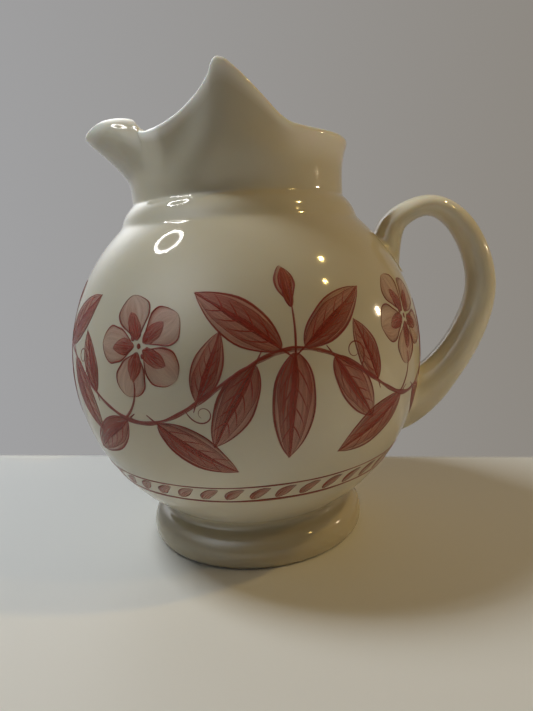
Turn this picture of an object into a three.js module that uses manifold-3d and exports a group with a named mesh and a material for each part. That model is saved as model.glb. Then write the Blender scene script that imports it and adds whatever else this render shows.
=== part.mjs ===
// Ball pitcher in milk glass: a blown globe with a tooled neck, an applied foot and an applied handle.
// Millimetres, +Z up. The spout points to -X and the handle to +X.
// The origin is the middle of the foot's resting face, on the axis of the globe.
import * as THREE from "three";
import { mergeVertices } from "three/addons/utils/BufferGeometryUtils.js";
import Module from "manifold-3d";

const { degToRad, clamp, lerp, smoothstep } = THREE.MathUtils;

// Driving dimensions of the blown body
const globeRadius = 76;
const globeWall = 4;
const collarRadius = 50.5; // where the collar's lower crease lies on the globe
const collarHeight = 9; // from that crease to the foot of the neck
const collarSwell = 0.5; // how far the collar rolls out of a plain cone
const neckRadius = 45;
const neckHeight = 22.6; // from the foot of the neck to the rim at the handle
const neckStraight = 7; // plain length before the rim flares
const rimFlare = 2.5;
const rimWall = 3.6;

// The two ears of the rim, one on each side, as angles from the spout
const earAngle = degToRad(87);
const earRise = 21;
const earFrontSpan = degToRad(40);
const earBackSpan = degToRad(30);
const earFrontFloor = 2.3; // the rim between ear and spout lies this much above the rim at the handle
const earFrontHollow = 2.85; // power of the hollow sweep down to the spout
const earLean = 0.8; // how much further out the tip of an ear stands

// The spout, pulled out of the rim at angle 0
const spoutReach = 15.3;
const spoutRise = 6; // its tip above the rim beside the spout
const spoutHalfAngle = degToRad(54);
const spoutBreadth = 1.3; // power of its plan, a narrow bill above 1
const spoutKnee = 0.37; // share of the spout's height where it breaks outwards
const spoutKneeRound = 0.12;

// The cheeks of the spout, which round over its mouth, and the notch and the pinch behind each
const cheekRise = 4.2; // their crowns above the tip
const cheekFront = degToRad(5); // the rim climbs from here to the crown
const cheekCrown = degToRad(31);
const cheekBack = degToRad(37); // and drops from here to the notch
const notchAngle = degToRad(47);
const cheekRadius = 30; // the round of the cheeks, seen along the spout
const cheekStart = 4.4; // above the foot of the neck
const cheekHalfWidth = 34;
const cheekFadeStart = degToRad(36);
const cheekFadeEnd = degToRad(58);
const pinchAngle = degToRad(48);
const pinchSpan = degToRad(5);
const pinchDepth = 2.5;
const pinchStart = 18; // above the foot of the neck
const pinchFull = 31;

// Driving dimensions of the foot
const footBase = 4; // glass under the middle of the globe
const footRollRadius = 48.7;
const footRollHeight = 5;
const footWaistRadius = 41.2;
const footWaistHeight = 14.6;
const footRestRadius = 46;
const footLip = 1.2; // height of the thin lip that runs up the globe above the waist

// Driving dimensions of the handle
const handleReach = 34.6; // how far the middle of its rod stands off the globe at the most
const handleDepth = 12.7; // thickness of the rod in the plane of the spout, at the grip
const handleWidth = 14.4; // thickness of the rod along Y, at the grip

// The handle's middle line from the upper joint to the lower one: the angle up from the globe's middle,
// and shares of the handle's reach, depth and width
const handleLine = [
  { angle: 27, reach: -0.2, depth: 1.26, width: 1.39 },
  { angle: 34, reach: 0.023, depth: 1.02, width: 1.25 },
  { angle: 37.5, reach: 0.194, depth: 0.96, width: 1.11 },
  { angle: 38.7, reach: 0.39, depth: 0.8, width: 1.01 },
  { angle: 36, reach: 0.8, depth: 0.67, width: 0.97 },
  { angle: 27.9, reach: 1, depth: 0.85, width: 0.97 },
  { angle: 13.8, reach: 0.99, depth: 1, width: 1 },
  { angle: 2.2, reach: 0.72, depth: 1.15, width: 1.07 },
  { angle: -8, reach: 0.42, depth: 1.31, width: 1.18 },
  { angle: -14.7, reach: 0.214, depth: 1.65, width: 1.32 },
  { angle: -20.6, reach: -0.043, depth: 2.2, width: 1.6 },
  { angle: -24, reach: -0.26, depth: 2.52, width: 1.8 },
];

// Clearances and steps
const seatGap = 0.3; // between the globe and what is fused to it
const aroundSteps = 60;
const globeSteps = 14;
const curveSteps = 4;
const rimSteps = 4;
const handleSteps = 44;
const handleSides = 16;

// Places that follow from the dimensions
const globeCentre = footBase + seatGap + globeRadius;
const collarZ = globeCentre + Math.sqrt(globeRadius ** 2 - collarRadius ** 2);
const neckZ = collarZ + collarHeight;
const rimZ = neckZ + neckHeight;
const rimRadius = neckRadius + rimFlare;
const lipZ = rimZ - rimWall / 2;
const flareZ = neckZ + neckStraight;
const flareBendZ = lerp(flareZ, lipZ, 0.6);
const spoutHeight = lipZ - neckZ + earFrontFloor + spoutRise;

const wasm = await Module();
wasm.setup();

// Solids for the boolean cut, and the geometry that comes back
function toSolid(geometry) {
  const bare = geometry.clone();
  bare.deleteAttribute("normal");
  bare.deleteAttribute("uv");
  const merged = mergeVertices(bare, 1e-4);
  return new wasm.Manifold(
    new wasm.Mesh({
      numProp: 3,
      vertProperties: merged.attributes.position.array,
      triVerts: new Uint32Array(merged.index.array),
    }),
  );
}

function toGeometry(solid) {
  const { vertProperties, triVerts } = solid.getMesh();
  const geometry = new THREE.BufferGeometry();
  geometry.setAttribute("position", new THREE.BufferAttribute(vertProperties, 3));
  geometry.setIndex(new THREE.BufferAttribute(triVerts, 1));
  return geometry;
}

// Points of an outline, as radius and height
const at = (radius, height) => new THREE.Vector2(radius, height);

function arc(centre, radius, from, to, steps) {
  return Array.from({ length: steps + 1 }, (_, i) => {
    const angle = lerp(from, to, i / steps);
    return at(centre.x + radius * Math.cos(angle), centre.y + radius * Math.sin(angle));
  });
}

const bend = (from, control, to, steps) =>
  new THREE.QuadraticBezierCurve(from, control, to).getPoints(steps);

// The outer face of the neck from its plain length to the rim
const flare = (steps) =>
  bend(at(neckRadius, flareZ), at(neckRadius, flareBendZ), at(rimRadius, lipZ), steps);

// Turns an outline round the Z axis, half a step off so that the tip of each ear falls on a row of points
function turned(outline) {
  const halfStep = Math.PI / aroundSteps;
  const apart = outline.filter((p, i) => i === 0 || p.distanceTo(outline[i - 1]) > 1e-6);
  const lathe = new THREE.LatheGeometry(apart, aroundSteps, halfStep);
  return lathe.rotateX(Math.PI / 2);
}

// A point of the globe's upper half, on a face set in from the outer one
function globePoint(radius, inset) {
  return at(radius, globeCentre + Math.sqrt((globeRadius - inset) ** 2 - radius ** 2));
}

function bodyOutline() {
  const centre = at(0, globeCentre);
  const south = -Math.PI / 2;
  const crease = globePoint(collarRadius, 0);
  const neckFoot = at(neckRadius, neckZ);
  const chord = neckFoot.clone().sub(crease);
  const out = at(chord.y, -chord.x).normalize();
  const swell = crease.clone().lerp(neckFoot, 0.5).addScaledVector(out, 2 * collarSwell);
  const lipCentre = at(rimRadius - rimWall / 2, lipZ);
  const outer = [
    ...arc(centre, globeRadius, south, Math.acos(collarRadius / globeRadius), globeSteps),
    ...bend(crease, swell, neckFoot, curveSteps),
    ...flare(curveSteps),
  ];
  const lip = arc(lipCentre, rimWall / 2, 0, Math.PI, rimSteps);

  const boreRadius = neckRadius - globeWall;
  const boreFoot = at(boreRadius, neckZ);
  const shoulder = globePoint(lerp(boreRadius, collarRadius, 0.4), globeWall);
  const innerRadius = globeRadius - globeWall;
  const inner = [
    ...bend(at(rimRadius - rimWall, lipZ), at(boreRadius, flareBendZ), at(boreRadius, flareZ), curveSteps),
    ...bend(boreFoot, at(boreRadius, lerp(shoulder.y, neckZ, 0.5)), shoulder, curveSteps),
    ...arc(centre, innerRadius, Math.acos(shoulder.x / innerRadius), south, globeSteps),
  ];
  outer[0].x = 0;
  inner[inner.length - 1].x = 0;
  return [...outer, ...lip, ...inner];
}

// Height of the rim above its height at the handle, at an angle from the spout
function rimRise(angle) {
  const before = clamp(1 - (earAngle - angle) / earFrontSpan, 0, 1) ** earFrontHollow;
  const behind = clamp(1 - (angle - earAngle) / earBackSpan, 0, 1);
  const ear = angle < earAngle ? lerp(earFrontFloor, earRise, before) : earRise * behind;
  const crown = spoutRise + cheekRise * smoothstep(angle, cheekFront, cheekCrown);
  return { ear, spout: crown * (1 - smoothstep(angle, cheekBack, notchAngle)) };
}

// How far the spout's wall stands out at a share of its height: little below the knee, then steadily
function kneeShare(share) {
  const ramp = (s) => Math.hypot(s - spoutKnee, spoutKneeRound) + s - spoutKnee;
  return (ramp(share) - ramp(0)) / (ramp(1) - ramp(0));
}

// Radius of the middle of the plain neck's wall at a height
const flareLine = flare(40);
function plainRadius(height) {
  const next = flareLine.findIndex((p) => p.y >= height);
  if (next <= 0) return (next === 0 ? neckRadius : rimRadius) - rimWall / 2;
  const [a, b] = [flareLine[next - 1], flareLine[next]];
  return lerp(a.x, b.x, (height - a.y) / (b.y - a.y)) - rimWall / 2;
}

const neckShare = (height) => clamp((height - neckZ) / (lipZ - neckZ), 0, 1);

// The middle of the tooled neck's wall, at an angle from the spout and a height on the plain neck.
// It is drawn up into the ears and the spout, bowed out into the spout and pinched behind its cheeks,
// and the cheeks draw together with height by the depth of a circle.
function neckWall(turn, height) {
  const angle = Math.abs(Math.atan2(Math.sin(turn), Math.cos(turn)));
  const share = neckShare(height);
  const { ear, spout } = rimRise(angle);
  const power = lerp(1, 1.6, smoothstep(angle, cheekBack, cheekFadeEnd));
  const z = height + (ear + spout) * share ** power;
  const bow = (1 - Math.min(angle / spoutHalfAngle, 1) ** 2) ** spoutBreadth;
  const lean = ((earLean * ear) / earRise) * share ** 2;
  const nearPinch = Math.exp(-(((angle - pinchAngle) / pinchSpan) ** 2));
  const pinch = pinchDepth * nearPinch * smoothstep(z - neckZ, pinchStart, pinchFull);
  const bowed = spoutReach * bow * kneeShare(Math.max(z - neckZ, 0) / spoutHeight);
  const reach = plainRadius(height) + bowed + lean - pinch;
  const over = clamp(z - neckZ - cheekStart, 0, 0.97 * cheekRadius);
  const depth = cheekRadius - Math.sqrt(cheekRadius ** 2 - over ** 2);
  const drawn = (depth / cheekHalfWidth) * (1 - smoothstep(angle, cheekFadeStart, cheekFadeEnd));
  return new THREE.Vector3(-reach * Math.cos(turn), reach * Math.sin(turn) * (1 - drawn), z);
}

// The plain blown neck is tooled while hot: its wall moves with its middle and keeps its thickness
function toolNeck(geometry) {
  const places = geometry.attributes.position;
  const nudge = 0.01;
  const point = new THREE.Vector3();
  for (let i = 0; i < places.count; i++) {
    point.fromBufferAttribute(places, i);
    if (point.z <= neckZ) continue;
    const turn = Math.atan2(point.y, -point.x);
    const height = Math.min(point.z, lipZ);
    const middle = neckWall(turn, height);
    const along = middle.clone().sub(neckWall(turn, height - nudge)).normalize();
    const around = neckWall(turn + nudge, height).sub(neckWall(turn - nudge, height));
    const out = new THREE.Vector3().crossVectors(along, around).normalize();
    const plain = new THREE.Vector3(-Math.cos(turn), Math.sin(turn), 0);
    if (out.dot(plain) < 0) out.negate();
    out.lerpVectors(plain, out, smoothstep(neckShare(height), 0, 0.2));
    const off = Math.hypot(point.x, point.y) - plainRadius(height);
    middle.addScaledVector(out, off).addScaledVector(along, point.z - height);
    places.setXYZ(i, ...middle);
  }
  return geometry;
}

// The foot cups the globe, draws in to a waist and rolls out to the edge that it stands on
function footOutline() {
  const seatRadius = globeRadius + seatGap;
  const lipTop = at(footWaistRadius + footLip * 0.5, 0);
  lipTop.y = globeCentre - Math.sqrt(seatRadius ** 2 - lipTop.x ** 2);
  const waist = at(footWaistRadius, Math.min(footWaistHeight, lipTop.y - footLip));
  const roll = at(footRollRadius, footRollHeight);
  const shoulder = at(lerp(waist.x, roll.x, 0.25), waist.y - footLip);
  const seatEnd = -Math.acos(lipTop.x / seatRadius);
  const edge = at(footRestRadius, 0);
  const outline = [
    ...arc(at(0, globeCentre), seatRadius, -Math.PI / 2, seatEnd, globeSteps / 2),
    waist,
    ...bend(shoulder, at(roll.x, lerp(roll.y, waist.y, 0.7)), roll, curveSteps),
    ...bend(at(roll.x, lerp(0, roll.y, 0.5)), at(roll.x, 0), edge, curveSteps),
    at(0, 0),
  ];
  outline[0].x = 0;
  return outline.reverse();
}

// A rod swept along the handle's middle line, with an oval section that swells towards both joints
function handleRod() {
  const places = handleLine.map(({ angle, reach }) => {
    const turn = degToRad(angle);
    const distance = globeRadius + reach * handleReach;
    return new THREE.Vector3(distance * Math.cos(turn), 0, globeCentre + distance * Math.sin(turn));
  });
  const line = new THREE.CatmullRomCurve3(places, false, "centripetal");
  const sections = handleLine.map(({ depth, width }) => at(depth * handleDepth, width * handleWidth));
  const sizes = new THREE.SplineCurve(sections);
  const corners = [];
  const faces = [];
  for (let step = 0; step <= handleSteps; step++) {
    const share = step / handleSteps;
    const middle = line.getPoint(share);
    const along = line.getTangent(share);
    const across = new THREE.Vector3(-along.z, 0, along.x);
    const size = sizes.getPoint(share);
    for (let side = 0; side < handleSides; side++) {
      const turn = (2 * Math.PI * side) / handleSides;
      const corner = middle.clone().addScaledVector(across, (size.x / 2) * Math.cos(turn));
      corner.y += (size.y / 2) * Math.sin(turn);
      corners.push(...corner);
    }
  }
  const ring = (step, side) => step * handleSides + (side % handleSides);
  for (let side = 0; side < handleSides; side++) {
    for (let step = 0; step < handleSteps; step++) {
      const [a, b] = [ring(step, side), ring(step, side + 1)];
      const [c, d] = [ring(step + 1, side), ring(step + 1, side + 1)];
      faces.push(a, c, b, b, c, d);
    }
    if (side === 0 || side === handleSides - 1) continue;
    faces.push(ring(0, 0), ring(0, side), ring(0, side + 1));
    faces.push(ring(handleSteps, 0), ring(handleSteps, side + 1), ring(handleSteps, side));
  }
  const rod = new THREE.BufferGeometry();
  rod.setAttribute("position", new THREE.Float32BufferAttribute(corners, 3));
  rod.setIndex(faces);
  return rod;
}

// The rod is cut to the round of the globe at both ends
function handleGeometry() {
  const ball = new THREE.SphereGeometry(globeRadius + seatGap, aroundSteps, aroundSteps / 2);
  ball.rotateX(Math.PI / 2).translate(0, 0, globeCentre);
  return toGeometry(toSolid(handleRod()).subtract(toSolid(ball)));
}

const milkGlass = new THREE.MeshStandardMaterial({ color: 0xe9e2d0, roughness: 0.12, metalness: 0 });
const pieces = {
  blown_body: toolNeck(turned(bodyOutline())),
  foot: turned(footOutline()),
  handle: handleGeometry(),
};

const pitcher = new THREE.Group();
for (const [name, geometry] of Object.entries(pieces)) {
  const piece = new THREE.Mesh(geometry, milkGlass.clone());
  piece.name = name;
  pitcher.add(piece);
}

export default pitcher;
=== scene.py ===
import bpy
import numpy as np
from mathutils import Matrix, Vector


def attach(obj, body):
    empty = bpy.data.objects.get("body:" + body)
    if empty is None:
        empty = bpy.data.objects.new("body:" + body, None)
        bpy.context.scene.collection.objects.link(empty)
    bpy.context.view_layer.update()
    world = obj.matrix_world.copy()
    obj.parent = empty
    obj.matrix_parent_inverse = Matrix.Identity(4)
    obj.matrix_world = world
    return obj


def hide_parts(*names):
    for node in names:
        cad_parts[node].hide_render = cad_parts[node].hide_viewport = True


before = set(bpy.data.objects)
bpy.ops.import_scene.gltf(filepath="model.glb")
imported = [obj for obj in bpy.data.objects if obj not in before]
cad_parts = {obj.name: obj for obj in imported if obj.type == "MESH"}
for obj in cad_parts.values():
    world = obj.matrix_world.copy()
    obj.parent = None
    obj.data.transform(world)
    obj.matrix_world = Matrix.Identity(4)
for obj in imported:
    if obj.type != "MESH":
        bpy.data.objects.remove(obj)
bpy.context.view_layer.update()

# Milk glass pitcher. Lengths in the dictionaries are millimetres and angles are degrees.
# The spout points to -X, the handle to +X, and the foot stands on z = 0.
mm = 0.001
print("frame loaded:", sorted(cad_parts))


def clip01(value):
    return np.clip(value, 0.0, 1.0)


def lerp(a, b, share):
    return a + (b - a) * share


def ease(value, low, high):
    share = clip01((value - low) / (high - low))
    return share * share * (3 - 2 * share)


# bell curve: 1 at its middle, falling away to both sides over its width
def bellCurve(value, middle, width):
    return np.exp(-(((value - middle) / width) ** 2))


# bend: a curve from the first point to the last, drawn towards those between by repeated halving
def bend(*points, steps=80):
    share = np.linspace(0, 1, steps)[:, None]
    row = [np.array(point, float) for point in points]
    while len(row) > 1:
        row = [lerp(a, b, share) for a, b in zip(row, row[1:])]
    return row[0]


# arc: part of a circle about (r, z) in the outline's plane
def arc(r, z, radius, start, end, steps=200):
    turn = np.radians(np.linspace(start, end, steps))
    return np.stack([r + radius * np.cos(turn), z + radius * np.sin(turn)], 1)


# bell mean: each row replaced by a bell-weighted mean of its neighbours, with the ends mirrored
def bellMean(rows, spread, mirror=1):
    half = int(3 * spread)
    bell = np.exp(-0.5 * (np.arange(-half, half + 1) / spread) ** 2)
    padded = np.concatenate([rows[half:0:-1] * mirror, rows, rows[-2:-half - 2:-1] * mirror])
    return np.stack([np.convolve(column, bell / bell.sum(), "valid") for column in padded.T], 1)


# outline: the joined curves at even steps with creases rounded off by a bell mean, more where softer() asks for it,
# then thinned to rows that lie closer where the line bends or where rowGap is small
def glassOutline(curves, rounding, rowGap, softer=None):
    step, rowsPerBend = 0.05, 2.4
    line = np.concatenate(curves)
    line = line[np.r_[True, np.hypot(*np.diff(line, axis=0).T) > 1e-6]]
    along = np.r_[0, np.cumsum(np.hypot(*np.diff(line, axis=0).T))]
    even = np.linspace(0, along[-1], int(along[-1] / step))
    fine = np.stack([np.interp(even, along, line[:, i]) for i in (0, 1)], 1)
    acrossAxis = np.array([-1, 1])
    soft = bellMean(fine, rounding / step, acrossAxis)
    if softer:
        wide, share = softer(fine)
        soft = lerp(soft, bellMean(fine, wide / step, acrossAxis), share[:, None])
    heading = np.unwrap(np.arctan2(*np.gradient(soft, axis=0).T[::-1]))
    rows = np.cumsum((1 / rowGap(soft) + rowsPerBend * np.abs(np.gradient(heading)) / step) * step)
    places = np.interp(np.arange(0.5, rows[-1], 1.0), rows, np.arange(len(rows)))
    return np.stack([np.interp(places, np.arange(len(soft)), soft[:, i]) for i in (0, 1)], 1)


# through: a smooth line through a list of points, each span a cubic whose end slopes come from its neighbours
def through(points, share, evenness):
    points = np.asarray(points, float)
    ends = np.concatenate([[2 * points[0] - points[1]], points, [2 * points[-1] - points[-2]]])
    span = np.linalg.norm(np.diff(ends, axis=0), axis=1) ** evenness
    place = np.minimum(share * (len(points) - 1), len(points) - 1 - 1e-9)
    i = place.astype(int)
    t = (place - i)[:, None]
    a, b, c, d = ends[i], ends[i + 1], ends[i + 2], ends[i + 3]
    da, db, dc = span[i][:, None], span[i + 1][:, None], span[i + 2][:, None]
    slopeB = ((b - a) / da - (c - a) / (da + db) + (c - b) / db) * db
    slopeC = ((c - b) / db - (d - b) / (db + dc) + (d - c) / dc) * db
    return b + slopeB * t + (3 * (c - b) - 2 * slopeB - slopeC) * t**2 + (2 * (b - c) + slopeB + slopeC) * t**3


# skin: loops of points (pieces, loops, points round a loop, 3), each loop joined to the next, and closed at both
# ends by a point, or end to end where there are no end points; turned so that its faces point outwards. Faces
# from the place flatFrom round a loop are shaded flat, which keeps the edge before them crisp.
def makeSkin(name, loops, ends=None, marks=None, flatFrom=None):
    pieces, rows, around = loops.shape[:3]
    index = np.arange(pieces * rows * around).reshape(pieces, rows, around)
    points = loops.reshape(-1, 3)
    after = np.roll(index, -1, axis=1)
    quads = np.stack([index, np.roll(index, -1, axis=2), np.roll(after, -1, axis=2), after], -1)
    fans = np.zeros((0, 3), int)
    if ends is not None:
        quads = quads[:, :-1]
        first = (len(points) + np.arange(pieces))[:, None].repeat(around, 1)
        fans = np.concatenate([
            np.stack([first, np.roll(index[:, 0], -1, axis=1), index[:, 0]], -1).reshape(-1, 3),
            np.stack([first + pieces, index[:, -1], np.roll(index[:, -1], -1, axis=1)], -1).reshape(-1, 3)])
        points = np.concatenate([points, ends[0].reshape(-1, 3), ends[1].reshape(-1, 3)])
    quads = quads.reshape(-1, 4)
    tris = np.concatenate([quads[:, [0, 1, 2]], quads[:, [0, 2, 3]], fans])
    a, b, c = points[tris[:, 0]], points[tris[:, 1]], points[tris[:, 2]]
    if np.einsum("ij,ij->", a, np.cross(b, c)) < 0:
        quads, fans = quads[:, ::-1], fans[:, ::-1]
    mesh = bpy.data.meshes.new(name)
    mesh.from_pydata((points * mm).tolist(), [], quads.tolist() + fans.tolist())
    smooth = np.r_[np.arange(len(quads)) % around < (flatFrom or around), np.full(len(fans), True)]
    mesh.polygons.foreach_set("use_smooth", smooth)
    for mark, field in (marks or {}).items():
        wide = field.ndim == 4
        field = field.reshape(pieces, rows, around, -1)
        flat = field.reshape(-1, field.shape[-1])
        if ends is not None:
            flat = np.concatenate([flat, field[:, 0].mean(1), field[:, -1].mean(1)])
        layer = mesh.attributes.new(mark, "FLOAT_VECTOR" if wide else "FLOAT", "POINT")
        layer.data.foreach_set("vector" if wide else "value", flat.ravel().astype(np.float32))
    piece = bpy.data.objects.new(name, mesh)
    bpy.context.scene.collection.objects.link(piece)
    print(name, len(tris), "triangles")
    return piece


# wire: a node's output. Sums, products and powers of wires add Math nodes, and node() adds any other node.
class Wire:
    def __init__(self, tree, socket=None):
        self.tree, self.socket = tree, socket

    def node(self, kind, settings, sockets, out=0):
        made = self.tree.nodes.new("ShaderNode" + kind)
        for setting, value in settings.items():
            if setting == "stops":
                ramp = made.color_ramp.elements
                while len(ramp) < len(value):
                    ramp.new(1.0)
                for stop, (place, level) in zip(ramp, value):
                    stop.position, stop.color = place, (level, level, level, 1)
            else:
                setattr(made, setting, value)
        for place, value in sockets.items():
            if isinstance(value, Wire):
                self.tree.links.new(value.socket, made.inputs[place])
            else:
                made.inputs[place].default_value = value
        return Wire(self.tree, made.outputs[out] if made.outputs else None)

    def maths(self, operation, *values):
        return self.node("Math", {"operation": operation}, dict(enumerate(values)))

    def blend(self, share, a, b):
        return self.node("Mix", {"data_type": "RGBA"}, {0: share, 6: a, 7: b}, 2)

    def ramp(self, *stops):
        return self.node("ValToRGB", {"stops": stops}, {0: self})

    def __add__(self, other):
        return self.maths("ADD", self, other)

    def __sub__(self, other):
        return self.maths("SUBTRACT", self, other)

    def __rsub__(self, other):
        return self.maths("SUBTRACT", other, self)

    def __mul__(self, other):
        return self.maths("MULTIPLY", self, other)

    def __pow__(self, other):
        return self.maths("POWER", self, other)

    __radd__ = __add__
    __rmul__ = __mul__


def newFinish(name):
    finish = bpy.data.materials.new(name)
    finish.use_nodes = True
    finish.node_tree.nodes.clear()
    return finish, Wire(finish.node_tree)


# Milk glass: ivory opal glass, a little clouded, with painted light that pales the narrow rim as if light shone
# through it, with faint level chill ripples, rare dark seeds and a rubbed ring under the foot. In the pulled rod of
# the handle the opal is drawn into streaks.
milkGlass = {
    # the third colour here is painted light: the pale glow given to the narrow rim
    "ivory": (0.70, 0.65, 0.52, 1), "cloud": (0.66, 0.605, 0.47, 1), "paintedGlowTint": (0.95, 0.93, 0.87, 1),
    "streak": (0.90, 0.85, 0.71, 1), "seed": (0.09, 0.055, 0.03, 1), "rubbed": (0.62, 0.59, 0.51, 1),
    "gloss": 0.06, "smudge": 0.05, "rubbedGloss": 0.3, "index": 1.5,
    "glow": 0.45, "glowDepth": (1.0, 0.78, 0.52), "glowScale": 0.0025,
    "ripple": 0.07, "reliefDepth": 0.0006, "rippleShare": 0.6, "waveShare": 0.7,
    # how fine each pattern is: patterns to the metre, and along, across and round the pulled rod
    "cloudGrain": 22.0, "seedGrain": 85.0, "gritGrain": 900.0, "smudgeGrain": 46.0, "chillGrain": 26.0,
    "waveGrain": 30.0, "rippleGrain": (14.0, 14.0, 620.0), "pullGrain": 0.85,
    # a cell holds a seed where its lot is over this; the seed fades out between these shares of the cell
    "seedLot": 0.955, "seedEdge": (0.028, 0.042), "rubHeight": 0.0007,
}

# painted shade: the foot, sitting under the globe, gets darker and browner glass colours
shadedFootGlass = {"ivory": (0.60, 0.54, 0.40, 1), "cloud": (0.56, 0.50, 0.36, 1)}


def makeMilkGlass(name, look, pulled):
    finish, wire = newFinish(name)
    place = wire.node("TexCoord", {}, {}, "Object")

    def grain(scale, detail, roughness=0.5):
        return wire.node("TexNoise", {}, {
            "Vector": place, "Scale": scale, "Detail": detail, "Roughness": roughness})

    def cells(out):
        return wire.node("TexVoronoi", {}, {"Vector": place, "Scale": look["seedGrain"], "Randomness": 1.0}, out)

    # painted light: a mask where the rim is paled as if light shone through the narrow glass
    rimGlowShare = wire.node("Attribute", {"attribute_name": "thinness"}, {}, "Fac")
    lot = wire.node("SeparateColor", {}, {0: cells("Color")}, "Red")
    seedIn, seedOut = look["seedEdge"]
    seed = cells("Distance").ramp((0.0, 1.0), (seedIn, 0.9), (seedOut, 0.0))
    seed = seed * wire.maths("GREATER_THAN", lot, look["seedLot"])
    rub = wire.maths("LESS_THAN", wire.node("SeparateXYZ", {}, {0: place}, "Z"), look["rubHeight"])
    cloud = grain(look["cloudGrain"], 3.0, 0.55).ramp((0.35, 0.0), (0.7, 1.0))
    tint = wire.blend(cloud, look["ivory"], look["cloud"])
    if pulled:
        pull = wire.node("Attribute", {"attribute_name": "pull"}, {}, "Vector")
        drawn = wire.node("TexNoise", {}, {
            "Vector": pull, "Scale": look["pullGrain"], "Detail": 3.0, "Distortion": 0.4})
        tint = wire.blend(drawn.ramp((0.32, 0.0), (0.6, 0.9)), tint, look["streak"])
    # painted light laid over the glass colour along the rim
    tint = wire.blend(rimGlowShare, tint, look["paintedGlowTint"])
    tint = wire.blend(rub * grain(look["gritGrain"], 2.0), tint, look["rubbed"])
    tint = wire.blend(seed, tint, look["seed"])
    smear = grain(look["smudgeGrain"], 4.0, 0.6).ramp((0.45, 0.0), (0.75, 1.0))
    gloss = look["gloss"] + look["smudge"] * smear + look["rubbedGloss"] * rub
    level = wire.node("Mapping", {}, {"Vector": place, "Scale": look["rippleGrain"]})
    ripple = wire.node("TexNoise", {}, {"Vector": level, "Scale": 1.0, "Detail": 1.0})
    chill = grain(look["chillGrain"], 1.0).ramp((0.5, 0.1), (0.62, 1.0))
    uneven = ripple * chill * look["rippleShare"] + grain(look["waveGrain"], 0.0) * look["waveShare"]
    relief = wire.node("Bump", {}, {
        "Strength": look["ripple"], "Distance": look["reliefDepth"], "Height": uneven})
    shader = wire.node("BsdfPrincipled", {}, {
        "Base Color": tint, "Roughness": gloss, "Normal": relief, "IOR": look["index"],
        "Subsurface Weight": look["glow"], "Subsurface Radius": look["glowDepth"],
        "Subsurface Scale": look["glowScale"]})
    wire.node("OutputMaterial", {}, {"Surface": shader})
    return finish


# Red enamel: a translucent wash that turns opaque where the brush was loaded. The mark "brush" holds the share
# along a stroke, the share across it and a number of its own; "tone" is how much colour the brush carried.
redEnamel = {
    "wash": (0.50, 0.06, 0.028, 1), "stroke": (0.23, 0.024, 0.010, 1), "gloss": 0.22, "dry": 0.14, "index": 1.5,
    # streaks left by the brush's hairs, and how much fuller one side of a stroke is than the other
    "hairs": (0.9, 3.4, 1.0), "hairGrain": 1.6, "streaky": 1.9, "fullSide": 0.18, "even": 0.86,
    # the load at the start of a stroke, what is used up along it, and the paint that pools at its edges
    "load": 1.12, "used": 0.32, "pooled": 0.16, "poolLost": 0.6, "cover": (0.05, 0.97),
}


def makeRedEnamel(look):
    finish, wire = newFinish("redEnamel")
    brush = wire.node("Attribute", {"attribute_name": "brush"}, {}, "Vector")
    tone = wire.node("Attribute", {"attribute_name": "tone"}, {}, "Fac")
    along = wire.node("SeparateXYZ", {}, {0: brush}, "X")
    side = wire.node("SeparateXYZ", {}, {0: brush}, "Y")
    across = wire.maths("ABSOLUTE", side)
    hairs = wire.node("Mapping", {}, {"Vector": brush, "Scale": look["hairs"]})
    streak = wire.node("TexNoise", {}, {
        "Vector": hairs, "Scale": look["hairGrain"], "Detail": 4.0, "Roughness": 0.62})
    pool = across.ramp((0.66, 0.0), (0.9, 1.0), (1.0, 0.8))
    drawn = (streak - 0.5) * look["streaky"] + look["fullSide"] * side + look["even"]
    load = tone * drawn * (look["load"] - look["used"] * along)
    load = load + look["pooled"] * pool * (1 - look["poolLost"] * tone)
    least, most = look["cover"]
    cover = wire.node("Clamp", {}, {"Value": load, "Min": least, "Max": most})
    tint = wire.blend(cover.ramp((0.25, 0.0), (0.9, 1.0)), look["wash"], look["stroke"])
    shader = wire.node("BsdfPrincipled", {}, {
        "Base Color": tint, "Roughness": look["gloss"] + look["dry"] * streak, "Alpha": cover,
        "IOR": look["index"]})
    wire.node("OutputMaterial", {}, {"Surface": shader})
    return finish


milkFinish = makeMilkGlass("milkGlass", milkGlass, False)
pulledFinish = makeMilkGlass("pulledMilkGlass", milkGlass, True)
# painted shade: a darker copy of the milk glass, used for the foot
shadedFootFinish = makeMilkGlass("shadedFootMilkGlass", {**milkGlass, **shadedFootGlass}, False)
enamelFinish = makeRedEnamel(redEnamel)
print("finishes mixed")


def fitPiece(piece, finish, node=None):
    piece.data.materials.append(finish)
    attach(piece, "root")
    if node:
        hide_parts(node)


globe = {"radius": 76.0, "wall": 4.0, "centre": 80.3}

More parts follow.
